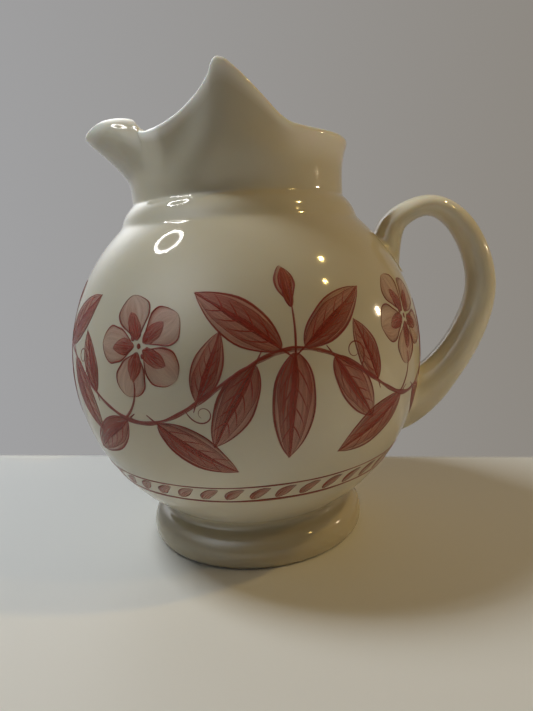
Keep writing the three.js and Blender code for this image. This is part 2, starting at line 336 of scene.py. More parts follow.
body = {
    "collarRadius": 50.5, "collarHeight": 9.0, "collarSwell": 0.95, "collarCrease": 1.15, "collarSoft": (4.0, 9.0),
    "neckRadius": 45.0, "neckHeight": 22.6, "neckStraight": 7.0, "rimFlare": 2.5, "rimWall": 3.6,
    # shares: where the flare and the shoulder inside bend, and how far the bore spreads to reach the shoulder
    "flareBend": 0.6, "shoulderBend": 0.5, "shoulderSpread": 0.4,
    "spoutReach": 15.3, "spoutRise": 29.2, "spoutHalfAngle": 54.0, "spoutBreadth": 1.3,
    "spoutKnee": 0.37, "spoutKneeRound": 0.12,
    # the cheeks of the spout round over its mouth on this radius from this height up, as far as these angles, and
    # the rim is pinched in behind them
    "cheekRadius": 30.0, "cheekLimit": 0.97, "cheekStart": 150.5, "cheekBreadth": 34.0, "cheekAngles": (44.0, 58.0),
    "dome": 1.5, "domeAngle": 32.0, "domeWidth": 9.0, "domeHeight": 174.0, "domeTall": 16.0,
    "pinch": 0.3, "pinchAngle": 48.0, "pinchWidth": 5.0, "pinchHeights": (168.0, 178.0),
    # the rim's rise goes by the first power of the height at the spout and by the second past these angles
    "risePowers": (1.0, 1.6), "risePowerAngles": (40.0, 60.0),
    # a fold runs up to each ear from the first angle to the second, and between these angles the neck flares lower
    # down, past its full flare by a share and back again
    "earFold": 2.2, "earFoldAngles": (70.0, 93.0), "earWidth": 15.0,
    "earFlareFrom": (58.0, 92.0), "earFlareTo": (98.0, 135.0),
    "earFlareOut": (0.05, 0.6), "earFlareOver": 0.1, "earFlareBack": (0.55, 1.0),
    # shares of the neck where painted light pales the glass as if shining through it: a narrow band in front, a broad
    # and weaker one at the back
    "rimGlowFront": (0.86, 1.0), "rimGlowBack": (0.4, 1.0), "rimGlowBackShare": 0.8, "rimGlowBackAngles": (106.0, 124.0),
    # rows lie this far apart on the neck, inside and on the globe; columns crowd about these angles, this widely
    "rowGaps": (1.0, 4.0, 2.1), "rowLead": 2.0, "columns": 420, "crowding": 2.0,
    "crowds": [(46.0, 7.0), (87.0, 6.0)], "crease": 0.55,
    # share of the neck over which the wall turns from upright to the way that faces out of its middle
    "facing": 0.2,
    # angle from the spout, height of the rim above its height at the handle
    "rim": [
        (-20, 9.9), (-10, 8.8), (0, 8.3), (10, 8.8), (16, 9.4), (20, 9.9), (25, 10.9), (30, 11.6), (34, 11.5),
        (38, 10.8), (41, 9.6), (42.5, 8.4), (44, 6.2), (45.5, 3.9), (48, 3.3), (51, 3.0), (53, 2.75), (56, 2.6),
        (59, 2.9), (62, 3.65), (65, 4.55), (68, 5.6), (71, 7.0), (74, 8.6), (76.5, 10.05), (79, 11.95),
        (81.3, 14.15), (83.2, 16.35), (84.4, 19.0), (85.6, 20.4), (86.8, 20.9), (88.2, 20.7), (90.2, 20.05),
        (92.2, 18.6), (96, 15.75), (100, 12.5), (104, 9.3), (108.1, 6.1), (112.5, 3.0), (115, 1.7), (117.5, 0.75),
        (122.3, 0.05), (128, -0.35), (140, -0.5), (150, -0.4), (180, 0), (210, -0.4)],
}


# body: a rounded outline turned round Z. Above the foot of the neck the middle of the wall also moves up by the
# rim's height at its angle times a power of its own height. It moves out by the spout's bow times a knee curve of
# the height it then has, by an earlier flare under the ears and by a bell-shaped fold that leans towards each ear,
# and in at the pinch. The cheeks of the spout then draw together by the depth of a circle at their height and swell
# by a low bell. The wall stands to both sides of its middle along the way that faces out of it.
def makeBody(g, b):
    radius, centre = g["radius"], g["centre"]
    collarZ = centre + np.sqrt(radius**2 - b["collarRadius"] ** 2)
    neckZ = collarZ + b["collarHeight"]
    rimZ = neckZ + b["neckHeight"]
    rimRadius = b["neckRadius"] + b["rimFlare"]
    crease, neckFoot = np.array([b["collarRadius"], collarZ]), np.array([b["neckRadius"], neckZ])
    chord = neckFoot - crease
    swell = (crease + neckFoot) / 2 + 2 * b["collarSwell"] * np.array([chord[1], -chord[0]]) / np.hypot(*chord)
    flareZ, half = neckZ + b["neckStraight"], b["rimWall"] / 2
    lipZ = rimZ - half
    bendZ = lerp(flareZ, lipZ, b["flareBend"])
    bore, inner = b["neckRadius"] - g["wall"], radius - g["wall"]
    shoulderR = lerp(bore, b["collarRadius"], b["shoulderSpread"])
    shoulder = (shoulderR, centre + np.sqrt(inner**2 - shoulderR**2))
    top = np.degrees(np.arccos(b["collarRadius"] / radius))
    curves = [
        arc(0, centre, radius, -90, top), bend(crease, swell, neckFoot),
        bend((b["neckRadius"], flareZ), (b["neckRadius"], bendZ), (rimRadius, lipZ)),
        arc(rimRadius - half, lipZ, half, 0, 180),
        bend((rimRadius - 2 * half, lipZ), (bore, bendZ), (bore, flareZ)),
        bend((bore, neckZ), (bore, lerp(shoulder[1], neckZ, b["shoulderBend"])), shoulder),
        arc(0, centre, inner, np.degrees(np.arccos(shoulderR / inner)), -90)]

    def rowGap(line):
        inside = np.hypot(line[:, 0], line[:, 1] - centre) < radius - g["wall"] / 2
        onNeck, within, onGlobe = b["rowGaps"]
        return np.where(line[:, 1] > collarZ - b["rowLead"], onNeck, np.where(inside, within, onGlobe))

    def softCollar(line):
        off = np.hypot(line[:, 0] - crease[0], line[:, 1] - crease[1])
        return b["collarCrease"], 1 - ease(off, *b["collarSoft"])

    outline = glassOutline(curves, b["crease"], rowGap, softCollar)
    even = np.linspace(-180, 180, 7201)
    close = sum(bellCurve(np.abs(even), angle, width) for angle, width in b["crowds"])
    crowd = np.cumsum(1 + b["crowding"] * close)
    turn = np.interp(np.linspace(crowd[0], crowd[-1], b["columns"], endpoint=False), crowd, even)
    rim = through(b["rim"], np.linspace(0, 1, 4000), evenness=0.5)
    midLine = bend((b["neckRadius"], flareZ), (b["neckRadius"], bendZ), (rimRadius, lipZ)) - [half, 0]

    def knee(s):
        return np.hypot(s - b["spoutKnee"], b["spoutKneeRound"]) + s - b["spoutKnee"]

    def midWall(turn, z):
        angle = 180 - np.abs(180 - np.abs(turn))
        share = np.maximum(z - neckZ, 0) / (lipZ - neckZ)
        power = lerp(*b["risePowers"], ease(angle, *b["risePowerAngles"]))
        rise = z + np.interp(angle, rim[:, 0], rim[:, 1]) * share**power
        climb = np.maximum(rise - neckZ, 0) / b["spoutRise"]
        bow = (1 - np.minimum(angle / b["spoutHalfAngle"], 1) ** 2) ** b["spoutBreadth"]
        bowed = b["spoutReach"] * bow * (knee(climb) - knee(0)) / (knee(1) - knee(0))
        fold = b["earFold"] * bellCurve(angle, lerp(*b["earFoldAngles"], share), b["earWidth"]) * share
        pinch = b["pinch"] * bellCurve(angle, b["pinchAngle"], b["pinchWidth"]) * ease(rise, *b["pinchHeights"])
        plain = np.interp(z, midLine[:, 1], midLine[:, 0])
        over = b["earFlareOver"]
        flare = (1 + over) * ease(share, *b["earFlareOut"]) - over * ease(share, *b["earFlareBack"])
        underEar = ease(angle, *b["earFlareFrom"]) * (1 - ease(angle, *b["earFlareTo"]))
        reach = lerp(plain, b["neckRadius"] - half + b["rimFlare"] * flare, underEar) + bowed + fold - pinch
        above = np.clip(rise - b["cheekStart"], 0, b["cheekLimit"] * b["cheekRadius"])
        draw = b["cheekRadius"] - np.sqrt(b["cheekRadius"] ** 2 - above**2)
        draw = draw * (1 - ease(angle, *b["cheekAngles"]))
        dome = b["dome"] * bellCurve(angle, b["domeAngle"], b["domeWidth"])
        dome = dome * bellCurve(rise, b["domeHeight"], b["domeTall"])
        way = np.radians(turn)
        sideways = reach * np.sin(way) * (1 - draw / b["cheekBreadth"]) + np.sign(np.sin(way)) * dome
        return np.stack([-reach * np.cos(way), -sideways, rise], -1)

    r, z = outline[:, :1], outline[:, 1:]
    mid = np.minimum(z, lipZ)
    middle = midWall(turn, mid)
    nudge = 0.05
    along = middle - midWall(turn, mid - nudge)
    along /= np.linalg.norm(along, axis=-1, keepdims=True)
    out = np.cross(along, midWall(turn + nudge, mid) - midWall(turn - nudge, mid))
    out /= np.linalg.norm(out, axis=-1, keepdims=True)
    way = np.radians(turn)
    flat = np.stack(np.broadcast_arrays(-np.cos(way), -np.sin(way), 0 * z), -1)
    share = clip01((z - neckZ) / (lipZ - neckZ))
    out = out * np.sign((out * flat).sum(-1, keepdims=True))
    out = lerp(flat, out, ease(share, 0, b["facing"])[..., None])
    off = r - np.interp(mid, midLine[:, 1], midLine[:, 0])
    loops = (middle + out * off[..., None] + along * (z - mid)[..., None])[None]
    poles = np.array([[[0, 0, centre - radius]], [[0, 0, centre - inner]]])
    # painted light: the rim is paled along the lip in front and more broadly at the back
    behind = ease(np.abs(turn), *b["rimGlowBackAngles"])
    rimGlowShare = lerp(ease(share, *b["rimGlowFront"]), b["rimGlowBackShare"] * ease(share, *b["rimGlowBack"]), behind)
    return makeSkin("pitcherBody", loops, poles, {"thinness": rimGlowShare[None]})


fitPiece(makeBody(globe, body), milkFinish, "blown_body")

foot = {
    "seatInset": 1.5, "lipRadius": 44.2, "waist": (40.4, 14.5), "shoulder": (43.4, 13.1),
    "rollTop": (47.9, 11.7), "rollRadius": 48.7, "rollHeight": 5.2, "restRadius": 46.0,
    "ringWidth": 7.0, "ringRound": 2.0, "hollow": 1.1, "crease": 0.35, "columns": 320,
    # the seat runs out past the lip and turns back to it just over the globe; the lip is tucked in above the waist
    "seatPast": 1.5, "lipOff": 0.02, "lipTurn": (1.5, -0.6), "lipTouch": (-0.2, -0.02), "lipTuck": (2.6, 1.75),
    "rollUnder": 0.2, "rowGaps": (5.0, 0.8), "rowLead": 6.0,
}


# foot: an outline turned round Z. It runs under the globe inside the wall, out at the lip, in to the waist, over
# the roll to the resting ring, and back to the axis over a shallow hollow.
def makeFoot(g, f):
    radius, centre = g["radius"], g["centre"]
    seat = radius - f["seatInset"]
    inLip = f["lipRadius"] + f["seatPast"]
    turn, touch, tuck = f["lipTurn"], f["lipTouch"], f["lipTuck"]

    def onGlobe(r, off):
        return np.array([r, centre - np.sqrt((radius + off) ** 2 - r**2)])

    lip = onGlobe(f["lipRadius"], f["lipOff"])
    roll = (f["rollRadius"], f["rollHeight"])
    ringIn = f["restRadius"] - f["ringWidth"]
    curves = [
        arc(0, centre, seat, -90, -np.degrees(np.arccos(inLip / seat))),
        bend(onGlobe(inLip + turn[0], turn[1]), onGlobe(inLip + touch[0], touch[1]), lip),
        bend(lip, (lip[0] - tuck[0], lip[1] - tuck[1]), f["waist"], f["shoulder"]),
        bend(f["shoulder"], f["rollTop"], roll),
        bend(roll, (f["rollRadius"], f["rollUnder"]), (f["restRadius"], 0)),
        bend((f["restRadius"], 0), (ringIn, 0)),
        bend((ringIn, 0), (ringIn - f["ringRound"], f["hollow"]), (0, f["hollow"]))]

    def rowGap(line):
        return np.where(line[:, 0] < inLip - f["rowLead"], *f["rowGaps"])

    outline = glassOutline(curves, f["crease"], rowGap)
    way = np.linspace(0, 2 * np.pi, f["columns"], endpoint=False)
    r, z = outline[:, :1], outline[:, 1:]
    loops = np.stack([r * np.cos(way), r * np.sin(way), np.maximum(z, 0) + 0 * way], -1)[None]
    return makeSkin("pitcherFoot", loops, np.array([[[0, 0, centre - seat]], [[0, 0, f["hollow"]]]]))


# the foot takes the darker copy of the milk glass, its painted shade
fitPiece(makeFoot(globe, foot), shadedFootFinish, "foot")

handle = {
    "reach": 34.6, "depth": 12.7, "width": 14.4, "loops": 300, "sides": 64,
    "upperFillet": 2.2, "lowerFillet": 3.5, "filletDepth": 1.5,
    # loops over which the line and, times a share, the section are evened out; length of the streaks' pattern
    "evening": 7.0, "sectionEvening": 1.6, "pullLength": 6.0,
    # angle up from the globe's middle, then shares of the reach, the depth and the width
    "line": [
        (27, -0.2, 1.26, 1.39), (34, 0.023, 1.02, 1.25), (37.5, 0.194, 0.96, 1.11), (38.7, 0.39, 0.8, 1.01),
        (36, 0.8, 0.67, 0.97), (27.9, 1, 0.85, 0.97), (13.8, 0.99, 1, 1), (2.2, 0.72, 1.15, 1.07),
        (-8, 0.42, 1.31, 1.18), (-14.7, 0.214, 1.65, 1.32), (-20.6, -0.043, 2.2, 1.6), (-24, -0.26, 2.52, 1.8)],
}


# handle: an oval carried along a smooth line through the listed places. Where a point is nearer to the globe than
# the fillet it moves out of the rod by the height of a quarter circle, so that rod and globe run together.
def makeHandle(g, h):
    angle, reach, depth, width = np.array(h["line"], float).T
    turn, distance = np.radians(angle), g["radius"] + reach * h["reach"]
    places = np.stack([distance * np.cos(turn), 0 * turn, g["centre"] + distance * np.sin(turn)], 1)
    share = np.linspace(0, 1, h["loops"])
    middle = bellMean(through(places, share, evenness=0.5), h["evening"])
    along = np.gradient(middle, axis=0)
    along /= np.linalg.norm(along, axis=1)[:, None]
    across = np.stack([-along[:, 2], 0 * share, along[:, 0]], 1)
    size = through(np.stack([depth * h["depth"], width * h["width"]], 1), share, evenness=0.0) / 2
    size = bellMean(size, h["sectionEvening"] * h["evening"])
    way = np.linspace(0, 2 * np.pi, h["sides"], endpoint=False)
    out = across[:, None] * (size[:, :1] * np.cos(way))[..., None]
    out = out + np.array([0, 1.0, 0]) * (size[:, 1:] * np.sin(way))[..., None]
    loops = middle[:, None] + out
    off = np.linalg.norm(loops - [0, 0, g["centre"]], axis=-1) - g["radius"]
    fillet = np.where(share < 0.5, h["upperFillet"], h["lowerFillet"])[:, None]
    near = fillet - np.clip(off, 0, fillet)
    push = (fillet - np.sqrt(np.maximum(fillet**2 - near**2, 0))) * clip01(1 + off / h["filletDepth"])
    loops = loops + out / np.linalg.norm(out, axis=-1, keepdims=True) * push[..., None]
    pull = np.stack(np.broadcast_arrays(h["pullLength"] * share[:, None], np.cos(way), np.sin(way)), -1)
    return makeSkin("pitcherHandle", loops[None], middle[[0, -1]][:, None], {"pull": pull[None]})


fitPiece(makeHandle(globe, handle), pulledFinish, "handle")
print("glass shaped")


# laid on the globe: a flat drawing (x to the right, y up, in millimetres) about an anchor at (lon, lat), with
# distances and directions from the anchor kept, and each point raised by its height
def layOnGlobe(g, lon, lat, x, y, height):
    lon, lat = np.radians(lon), np.radians(lat)
    out = np.stack([np.sin(lon) * np.cos(lat), -np.cos(lon) * np.cos(lat), np.sin(lat)], -1)
    right = np.stack([np.cos(lon), np.sin(lon), 0 * lon], -1)
    up = np.cross(out, right)
    far = np.hypot(x, y) / g["radius"]
    turn = np.sinc(far / np.pi) / g["radius"]
    way = out * np.cos(far)[..., None] + (right * x[..., None] + up * y[..., None]) * turn[..., None]
    return way * (g["radius"] + height)[..., None] + [0, 0, g["centre"]]


# strokes: each middle line sets out from (x, y) along its heading and turns by curl times u and coil times u
# squared; its half width is width times sin(pi u^peak)^full. A stroke with a side runs beside that line instead,
# at the distance side times sin(pi u^sidePeak)^sideFull, so that it follows the edge of another stroke. The
# section is a flat lens that stands on the glass and goes a little into it.
strokeParts = ("lon", "lat", "x", "y", "heading", "length", "curl", "coil", "width", "peak", "full", "tone",
               "side", "sidePeak", "sideFull")

# the painter's hand: how much a stroke's width wavers and quivers (share, waves along it, waves from its own number),
# how deep the lens goes into the glass against its height, and how high its edge stands
hand = {
    "waver": (0.06, 1.3, 5.0), "quiver": (0.02, 2.9, 9.0), "sink": 5.0, "edge": 0.02, "lineLift": 0.1,
    "liftLeast": 0.75, "liftVaries": 0.5, "steps": 240,
    # how far apart strokes and lines lie in the pattern of streaks, how far a line runs through it, and the load along
    # a line: its middle, its swing and its pace
    "strokeApart": 40.0, "lineApart": 3.7, "lineRun": 60.0, "lineLoad": (0.5, 0.45, 17.0),
    # a stroke's own number is mixed from its place and heading
    "mix": {"lon": 0.137, "lat": 0.71, "x": 0.613, "y": 0.377, "heading": 0.0513},
}


def paintStrokes(name, rows, steps, sides, lift):
    rows = [list(row) + [0, 1, 1][len(row) - 12:] for row in rows]
    part = dict(zip(strokeParts, np.array(rows, float).T[:, :, None]))
    own = np.modf(np.abs(sum(part[key] * share for key, share in hand["mix"].items())))[0]
    fine = hand["steps"]
    u = np.linspace(0, 1, fine + 1)
    head = np.radians(part["heading"] + part["curl"] * u + part["coil"] * u**2)
    step = part["length"] / fine
    x = part["x"] + np.cumsum(np.cos(head) * step, 1) - np.cos(head) * step
    y = part["y"] + np.cumsum(np.sin(head) * step, 1) - np.sin(head) * step
    # the steps that are kept crowd together at both ends
    crowded = 0.5 - 0.5 * np.cos(np.pi * (np.arange(steps) + 0.6) / (steps + 0.2))
    pick = np.round(fine * crowded).astype(int)
    waver = 1 + sum(share * np.sin(2 * np.pi * (waves * u + offset * own))
                    for share, waves, offset in (hand["waver"], hand["quiver"]))
    clear = np.clip(u, 1e-6, 1 - 1e-6)
    half = part["width"] * np.sin(np.pi * clear ** part["peak"]) ** part["full"] * waver
    aside = part["side"] * np.sin(np.pi * clear ** part["sidePeak"]) ** part["sideFull"] * waver
    top = np.linspace(-1, 1, sides)
    under = np.linspace(1, -1, max(3, sides // 2))[1:-1]
    across = np.r_[top, under]
    height = np.r_[1 - top**2, 0 * under - hand["sink"]]
    height = height * (lift * (hand["liftLeast"] + hand["liftVaries"] * own))[..., None] + hand["edge"]
    shift = aside[:, pick, None] + half[:, pick, None] * across
    px = x[:, pick, None] - np.sin(head)[:, pick, None] * shift
    py = y[:, pick, None] + np.cos(head)[:, pick, None] * shift
    lon, lat = part["lon"][..., None] + 0 * px, part["lat"][..., None] + 0 * px
    loops = layOnGlobe(globe, lon, lat, px, py, height + 0 * px)
    ends = [layOnGlobe(globe, part["lon"][:, 0], part["lat"][:, 0], x[:, i], y[:, i], 0 * x[:, i] - hand["edge"])
            for i in (0, -1)]
    brush = np.stack(np.broadcast_arrays(u[pick][None, :, None], across, hand["strokeApart"] * own[..., None]), -1)
    tone = part["tone"][..., None] + 0 * px
    return makeSkin(name, loops, np.array(ends), {"brush": brush, "tone": tone}, sides - 1)


# a motif: its strokes, drawn pointing along +x, turned and sized about the anchor
def motif(lon, lat, turn, size, strokes, start=(0, 0)):
    x, y, heading, length, curl, coil, width, peak, full, tone, *beside = np.array(strokes, float).T
    way = np.radians(turn)
    gx = start[0] + size * (x * np.cos(way) - y * np.sin(way))
    gy = start[1] + size * (x * np.sin(way) + y * np.cos(way))
    same = np.ones_like(x)
    if beside:
        beside[0] = beside[0] * size
    return np.stack([lon * same, lat * same, gx, gy, heading + turn, length * size, curl, coil,
                     width * size, peak, full, tone, *beside], 1).tolist()


# the edge of a wash, drawn on one side of it (1 left, -1 right) a little inside its border
def edgeOf(wash, side, width, tone, peak=0.75, full=0.45, inside=0.97):
    return (*wash[:6], width, peak, full, tone, side * wash[6] * inside, wash[7], wash[8])


# x, y, heading, length, curl, coil, width, peak, full, tone
leafWash = [
    (0.5, 0.0, 0, 29.5, 0, 0, 4.6, 0.80, 0.8, 0.26),
    (1.0, 0.2, 19, 29.4, -40, 0, 3.5, 0.82, 0.8, 0.42), (1.0, -0.2, -19, 29.4, 40, 0, 3.2, 0.82, 0.8, 0.70)]
leafVeins = [(-4.0, 0.0, 0, 33, 0, 0, 0.36, 0.6, 0.5, 1.1)] + [
    (4.5 + 5.2 * i, side * 0.1, side * 40, 8.6 - 1.0 * i, -side * 24, 0, 0.20, 0.5, 0.7, 0.95)
    for i in range(4) for side in (1, -1)]
leafEdges = [edgeOf(leafWash[1], 1, 0.26, 0.95), edgeOf(leafWash[2], -1, 0.34, 1.1)]
petalTurns = [18 + 72 * i for i in range(5)]


def ringPlace(turn, radius):
    return radius * np.cos(np.radians(turn)), radius * np.sin(np.radians(turn))


blossomWash = [(*ringPlace(t, 1.6), t, 11.2, 0, 0, 4.9, 1.45, 0.62, 0.36) for t in petalTurns] + [
    (*ringPlace(t, 1.4), t + 3, 7.4, 8, 0, 2.0, 0.9, 0.7, 0.62) for t in petalTurns]
blossomEdges = [edgeOf(petal, side, 0.24, 1.0) for petal in blossomWash[:5] for side in (1, -1)]
blossomLines = [
    (*ringPlace(t + k, 3.4), t + 1.4 * k, 5.0 - 0.05 * k * k, 0, 0, 0.16, 0.6, 0.7, 1.0)
    for t in petalTurns for k in (-7, 0, 7)] + [
    (*ringPlace(51.4 * i, 2.0), 51.4 * i, 1.3, 0, 0, 0.5, 1, 0.5, 1.2) for i in range(7)] + [
    (-0.7, 0, 0, 1.4, 0, 0, 0.6, 1, 0.5, 1.2)]
budWash = [(0, 0, 8, 10, -14, 0, 2.1, 1.25, 0.7, 0.50), (0, 0, -8, 9.4, 14, 0, 1.9, 1.25, 0.7, 0.70)]
budLines = [(-1, 0, 24, 6.5, -36, 0, 0.5, 0.6, 0.6, 1.1), (-1, 0, -24, 6.5, 36, 0, 0.5, 0.6, 0.6, 1.1)]
budEdges = [edgeOf(budWash[0], 1, 0.24, 1.0), edgeOf(budWash[1], -1, 0.26, 1.1)]
tendril = [(0, 0, 0, 24, 70, 330, 0.30, 0.55, 0.5, 1.0)]
blossomStem = (-9, 0.6, 28, 18, 74, 0, 0.5, 0.5, 0.4, 1.0)
budStem = (0, 0, 84, 16, 10, 0, 0.42, 0.5, 0.4, 1.0)
borderComma = (0, 0, 62, 9.4, -48, 0, 2.1, 0.75, 0.7, 0.6)

vine = {
    "waves": 4, "start": 104.0, "span": 332.0, "level": 0.5, "swing": 9.0, "halfWidth": 0.75, "seed": 11,
    "leaf": 1.22, "blossom": 1.42, "bud": 1.25, "bloomHeight": 28.0, "budHeight": 15.0,
    # leaves and tendrils about each trough and crest: place along the vine, direction, size
    "troughLeaves": [(4, -33, 0.86), (-5, -147, 0.90), (16, 71, 0.74), (-17, 112, 0.70)],
    "crestLeaves": [(2, 36, 0.94), (-3, 146, 0.98), (0, -92, 1.0), (10, -58, 0.84), (-10, -121, 0.88)],
    "crestTendril": (18, 58, 0.95), "troughTendril": (13, -62, 0.85),
    # what is left to chance: the direction, then the size, or the place of a blossom
    "leafChance": (6.0, 0.08), "blossomChance": (14.0, 2.0, 1.5), "budChance": (10.0, 0.1), "tendrilChance": 8.0,
    # the stem swells (share, pace) and tapers to blunt ends over this angle
    "swells": [(0.2, 0.31), (0.15, 0.83)], "taper": 12.0, "blunt": 0.2, "steps": 360,
}
# lines: level and half width; both drift and swell a little (amount, waves round the globe)
border = {
    "lines": [(-35.4, 0.62), (-29.0, 0.34)], "commas": 44, "commaLat": -34.4, "steps": 360,
    "drifts": [(0.12, 3), (0.06, 11)], "swells": [(0.18, 7), (0.12, 17)],
}


def vineLat(v, lon):
    return v["level"] + v["swing"] * np.sin(2 * np.pi * v["waves"] * (lon - v["start"]) / v["span"])


# the vine's motifs: a blossom over each trough, leaves and buds outside each bend, hanging leaves inside
def drawVine(v):
    chance = np.random.default_rng(v["seed"])
    wash, line, edge, stem = [], [], [], []
    wave = v["span"] / v["waves"]

    leafTurn, leafSize = v["leafChance"]
    bloomTurn, bloomAside, bloomUp = v["blossomChance"]
    budTurn, budSize = v["budChance"]

    def some(spread):
        return chance.uniform(-spread, spread)

    def draw(lon, turn, size, washes, lines, edges, start=(0, 0)):
        for rows, strokes in ((wash, washes), (line, lines), (edge, edges)):
            rows.extend(motif(lon, vineLat(v, lon), turn, size, strokes, start))

    def leaf(lon, turn, size):
        turn, size = turn + some(leafTurn), v["leaf"] * size * (1 + some(leafSize))
        draw(lon, turn, size, leafWash, leafVeins, leafEdges)

    def curl(lon, turn, size):
        stem.extend(motif(lon, vineLat(v, lon), turn + some(v["tendrilChance"]), size, tendril))

    for i in range(v["waves"]):
        crest, trough = v["start"] + wave * (i + 0.25), v["start"] + wave * (i + 0.75)
        turn, bloom = 90 + some(bloomTurn), (some(bloomAside), v["bloomHeight"] + some(bloomUp))
        draw(trough, turn, v["blossom"], blossomWash, blossomLines, blossomEdges, bloom)
        stem.append((trough, vineLat(v, trough), *blossomStem))
        for middle, leaves in ((trough, v["troughLeaves"]), (crest, v["crestLeaves"])):
            for place, turn, size in leaves:
                leaf(middle + place, turn, size)
        turn, size = 90 + some(budTurn), v["bud"] * (1 + some(budSize))
        draw(crest, turn, size, budWash, budLines, budEdges, (0, v["budHeight"]))
        stem.append((crest, vineLat(v, crest), *budStem))
        for middle, (place, turn, size) in ((crest, v["crestTendril"]), (trough, v["troughTendril"])):
            curl(middle + place, turn, size)
    return wash, line, edge, stem


leafRows, veinRows, edgeRows, stemRows = drawVine(vine)
commaLon = np.arange(border["commas"]) * 360 / border["commas"]
commaRows = [(lon, border["commaLat"], *borderComma) for lon in commaLon]


# lines drawn right round the globe, or along the vine: u runs along the line, across over its lens section
def paintLines(name, lon, lat, half, tone, closed):
    top = np.linspace(-1, 1, 5)
    across = np.r_[top, 0.5, -0.5]
    height = np.r_[1 - top**2, -hand["sink"], -hand["sink"]] * hand["lineLift"] + hand["edge"]
    flat = layOnGlobe(globe, lon, lat, 0 * lon, 0 * lon, 0 * lon)
    along = np.gradient(flat, axis=1)
    if closed:
        along = np.roll(flat, -1, axis=1) - np.roll(flat, 1, axis=1)
    out = (flat - [0, 0, globe["centre"]]) / globe["radius"]
    side = np.cross(out, along)
    side /= np.linalg.norm(side, axis=-1, keepdims=True)
    loops = flat[:, :, None] + side[:, :, None] * (half[..., None] * across)[..., None]
    ray = loops - [0, 0, globe["centre"]]
    ray /= np.linalg.norm(ray, axis=-1, keepdims=True)
    loops = ray * (globe["radius"] + height)[..., None] + [0, 0, globe["centre"]]
    u = np.linspace(0, 1, lon.shape[1])
    own = np.arange(len(lon))[:, None] * hand["lineApart"]
    middle, swing, pace = hand["lineLoad"]
    loaded = middle + swing * np.sin(u * pace)
    brush = np.stack(np.broadcast_arrays(
        loaded[None, :, None], across, u[:, None] * hand["lineRun"] + own[..., None]), -1)
    marks = {"brush": brush, "tone": tone + 0 * loops[..., 0]}
    return makeSkin(name, loops, None if closed else flat[:, [0, -1]].transpose(1, 0, 2), marks, 4)


# slow waves added up: each an amount times the sine of the phase times its pace
def slowWaves(phase, parts):
    return sum(amount * np.sin(phase * pace) for amount, pace in parts)


vineEnd = vine["start"] + vine["span"]
stemLon = np.linspace(vine["start"], vineEnd, vine["steps"])[None]
toEnd = np.minimum(stemLon - vine["start"], vineEnd - stemLon) + vine["blunt"]
stemHalf = vine["halfWidth"] * (1 + slowWaves(stemLon, vine["swells"])) * np.sqrt(clip01(toEnd / vine["taper"]))
lineLon = np.linspace(0, 360, border["steps"], endpoint=False) + np.zeros((len(border["lines"]), 1))
lineLat, lineHalf = np.array(border["lines"]).T[:, :, None]
lineLat = lineLat + slowWaves(np.radians(lineLon), border["drifts"])
lineHalf = lineHalf * (1 + slowWaves(np.radians(lineLon), border["swells"]))

# name, strokes, steps along, points across, height of the paint
painted = [
    paintStrokes("leafWashes", leafRows, 26, 7, 0.06),
    paintStrokes("fineStrokes", veinRows, 9, 4, 0.10),
    paintStrokes("edgeStrokes", edgeRows, 24, 4, 0.10),
    paintStrokes("vineCurls", stemRows, 40, 5, 0.09),
    paintStrokes("borderCommas", commaRows, 12, 6, 0.07),
    paintLines("vineStem", stemLon, vineLat(vine, stemLon), stemHalf, 1.0, False),
    paintLines("borderLines", lineLon, lineLat, lineHalf, 1.0, True),
]
for stroke in painted:
    fitPiece(stroke, enamelFinish)
print("enamel painted:", len(leafRows), "washes,", len(veinRows), "fine strokes")

floor = {
    "radius": 1600.0, "innerRadius": 20.0, "rings": 24, "sides": 96, "colour": (0.82, 0.82, 0.82, 1), "gloss": 0.5,
    "backTurn": 0.17, "backStart": 0.0745, "backEnd": 0.0795, "fadeStart": 0.45, "fadeEnd": 1.2,
}


# floor: a flat disc that fades into the background away from the pitcher, and ends behind it where the wall starts
def makeFloor(f):
    ringCount, sides = f["rings"], f["sides"]
    way = np.linspace(0, 2 * np.pi, sides, endpoint=False)
    far = np.linspace(f["innerRadius"], f["radius"], ringCount)[:, None]
    rings = np.stack([far * np.cos(way), far * np.sin(way), 0 * far * way], -1)
    points = np.concatenate([rings.reshape(-1, 3), [[0, 0, 0]]]) * mm
    index = np.arange(ringCount * sides).reshape(ringCount, sides)
    beside = np.roll(index, -1, axis=1)
    quads = np.stack([index[:-1], index[1:], beside[1:], beside[:-1]], -1).reshape(-1, 4)
    fan = np.stack([np.full(sides, index.size), index[0], beside[0]], -1)
    mesh = bpy.data.meshes.new("studioFloor")
    mesh.from_pydata(points.tolist(), [], quads.tolist() + fan.tolist())
    finish, wire = newFinish("floorFinish")
    place = wire.node("TexCoord", {}, {}, "Object")
    far = wire.node("VectorMath", {"operation": "LENGTH"}, {0: place}, "Value")
    fade = wire.node("MapRange", {"interpolation_type": "SMOOTHERSTEP"},
                     {"Value": far, "From Min": f["fadeStart"], "From Max": f["fadeEnd"]})
    solid = wire.node("BsdfPrincipled", {}, {"Base Color": f["colour"], "Roughness": f["gloss"]})
    clear = wire.node("BsdfTransparent", {}, {})
    sideways = wire.node("SeparateXYZ", {}, {0: place}, "X")
    depth = wire.node("SeparateXYZ", {}, {0: place}, "Y") + sideways * f["backTurn"]
    back = wire.node("MapRange", {"interpolation_type": "SMOOTHSTEP"},
                     {"Value": depth, "From Min": f["backStart"], "From Max": f["backEnd"]})
    mixed = wire.node("MixShader", {}, {0: wire.maths("MAXIMUM", fade, back), 1: solid, 2: clear})
    wire.node("OutputMaterial", {}, {"Surface": mixed})
    mesh.materials.append(finish)
    piece = bpy.data.objects.new("studioFloor", mesh)
    bpy.context.scene.collection.objects.link(piece)


makeFloor(floor)

